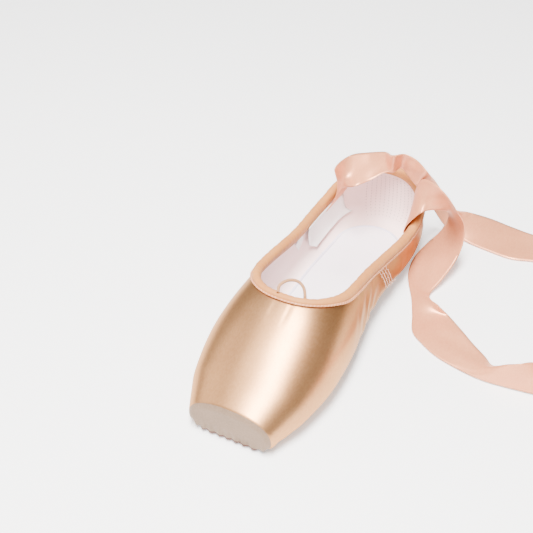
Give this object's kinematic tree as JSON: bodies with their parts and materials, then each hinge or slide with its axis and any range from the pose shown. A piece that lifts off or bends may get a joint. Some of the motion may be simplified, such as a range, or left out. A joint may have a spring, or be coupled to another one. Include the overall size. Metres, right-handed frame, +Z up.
{
  "type": "pointe shoe",
  "caption": "Empty satin pointe shoe with a flat toe platform, open bound collar, leather outsole and long loose ribbons.",
  "frame": {"origin": "on the floor under the middle of the shoe body's bounding box", "axes": "+Z up from the floor, -Y towards the toe platform, +Y towards the heel, X across; X = 0 is the plane of symmetry of the shoe body"},
  "size_m": [0.2657, 0.312, 0.0731],
  "materials": {
    "satin": "satin weave, golden peach",
    "sole_leather": "matt suede leather",
    "insole_cloth": "matt cloth, near white",
    "binding_cloth": "matt cotton tape, peach beige",
    "cord": "braided elastic cord",
    "ribbon_satin": "soft satin ribbon, pink peach"
  },
  "bodies": {
    "root": {"upper": "satin", "outsole": "sole_leather", "insole": "insole_cloth", "binding": "binding_cloth", "drawstring_loop": "cord", "ribbon_left": "ribbon_satin", "ribbon_right": "ribbon_satin"}
  },
  "joints": []
}
